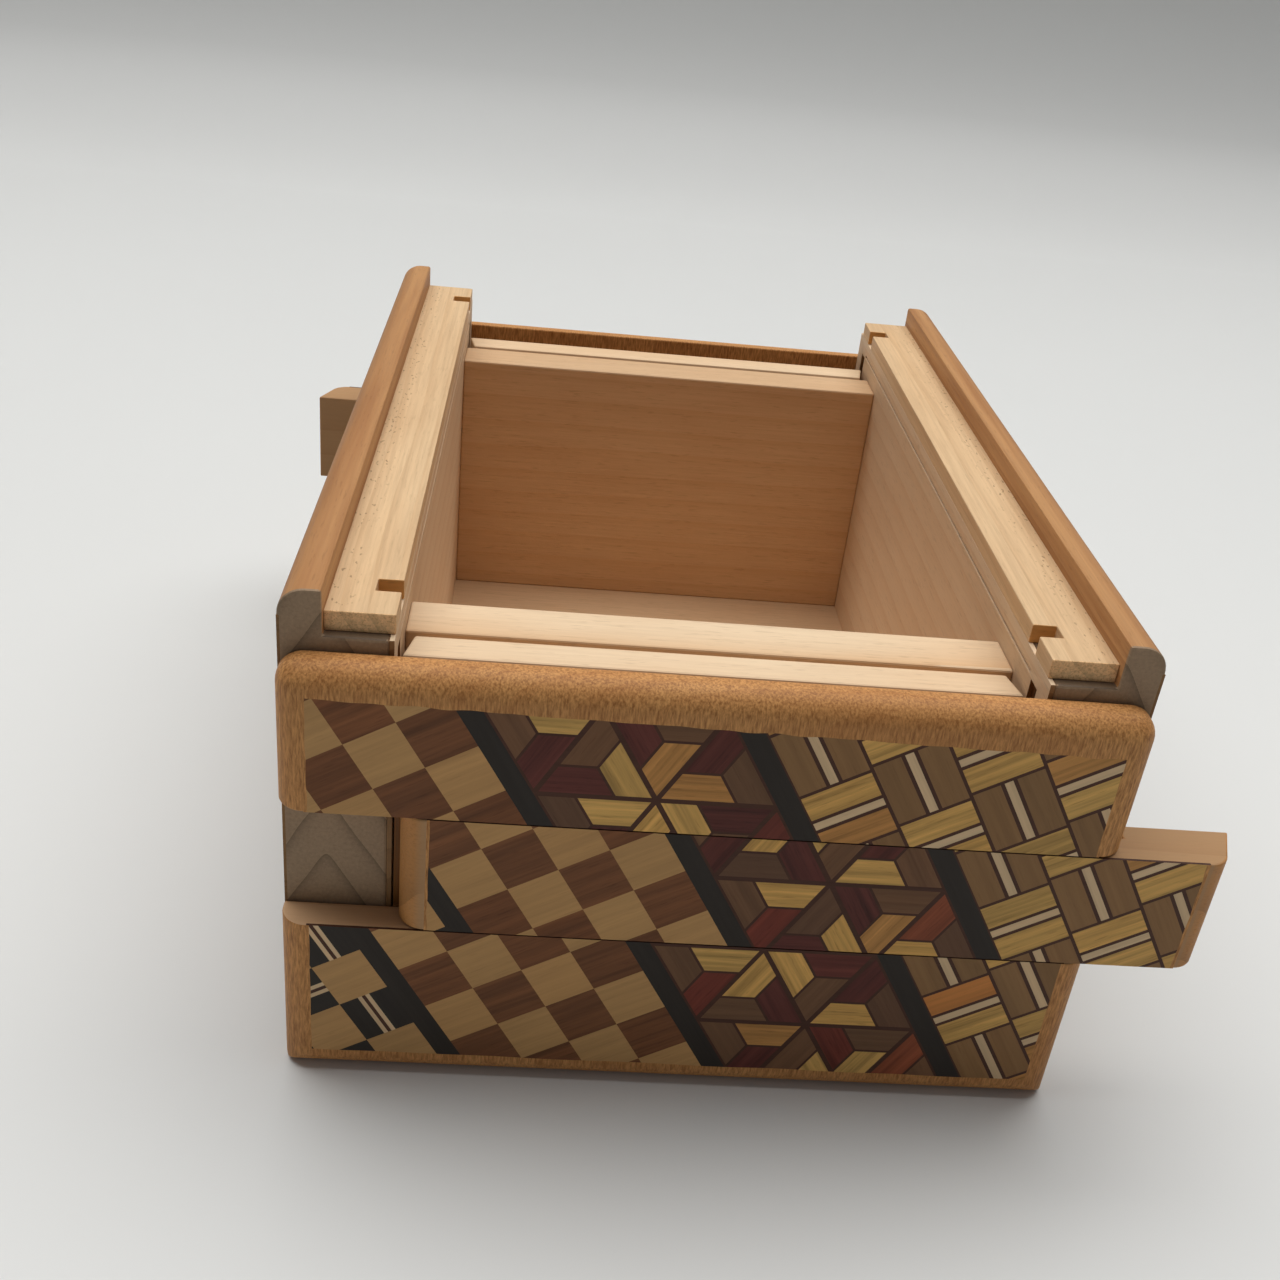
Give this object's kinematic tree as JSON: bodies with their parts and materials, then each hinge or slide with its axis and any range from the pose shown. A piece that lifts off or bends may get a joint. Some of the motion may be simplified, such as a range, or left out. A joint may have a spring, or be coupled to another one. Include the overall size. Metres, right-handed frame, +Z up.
{
  "type": "puzzle box",
  "caption": "Open wooden puzzle box with marquetry faces: lid rails along the sides, end panels that drop on grooved cleats, and a locking key slat that slides out of each end panel.",
  "frame": {"origin": "centre of the plan, on the table plane under the lowered end panels", "axes": "+Z up; -Y is the front end with its key slat out to +X; +X to the right seen from the front"},
  "size_m": [0.1152, 0.121, 0.059],
  "materials": {
    "side_wood": "satin",
    "panel_wood": "satin",
    "light_wood": "satin",
    "cleat_wood": "satin",
    "marquetry": "satin",
    "bottom_wood": "satin"
  },
  "bodies": {
    "core": {"bottom_panel": "bottom_wood", "bottom_veneer": "marquetry", "front_guide_strip": "light_wood", "front_inner_wall": "light_wood", "inner_floor": "light_wood", "left_inner_wall": "light_wood", "left_lid_rail": "light_wood", "left_side_board": "side_wood", "left_side_veneer": "marquetry", "rear_guide_strip": "light_wood", "rear_inner_wall": "light_wood", "right_inner_wall": "light_wood", "right_lid_rail": "light_wood", "right_side_board": "side_wood", "right_side_veneer": "marquetry"},
    "front_panel": {"front_upper_slat": "panel_wood", "front_lower_slat": "panel_wood", "front_upper_veneer": "marquetry", "front_lower_veneer": "marquetry", "front_left_cleat": "cleat_wood", "front_right_cleat": "cleat_wood"},
    "front_key": {"front_key_slat": "panel_wood", "front_key_veneer": "marquetry", "front_key_runner": "cleat_wood"},
    "rear_panel": {"rear_upper_slat": "panel_wood", "rear_lower_slat": "panel_wood", "rear_upper_veneer": "marquetry", "rear_lower_veneer": "marquetry", "rear_left_cleat": "cleat_wood", "rear_right_cleat": "cleat_wood"},
    "rear_key": {"rear_key_slat": "panel_wood", "rear_key_veneer": "marquetry", "rear_key_runner": "cleat_wood"}
  },
  "joints": [
    {"name": "front_panel_lift", "type": "slide", "parent": "core", "child": "front_panel", "axis": [0, 0, 1], "range_m": [0, 0.0064]},
    {"name": "front_key_slide", "type": "slide", "parent": "front_panel", "child": "front_key", "axis": [1, 0, 0], "range_m": [-0.0123, 0]},
    {"name": "rear_panel_lift", "type": "slide", "parent": "core", "child": "rear_panel", "axis": [0, 0, 1], "range_m": [0, 0.0064]},
    {"name": "rear_key_slide", "type": "slide", "parent": "rear_panel", "child": "rear_key", "axis": [-1, 0, 0], "range_m": [-0.0123, 0]}
  ]
}
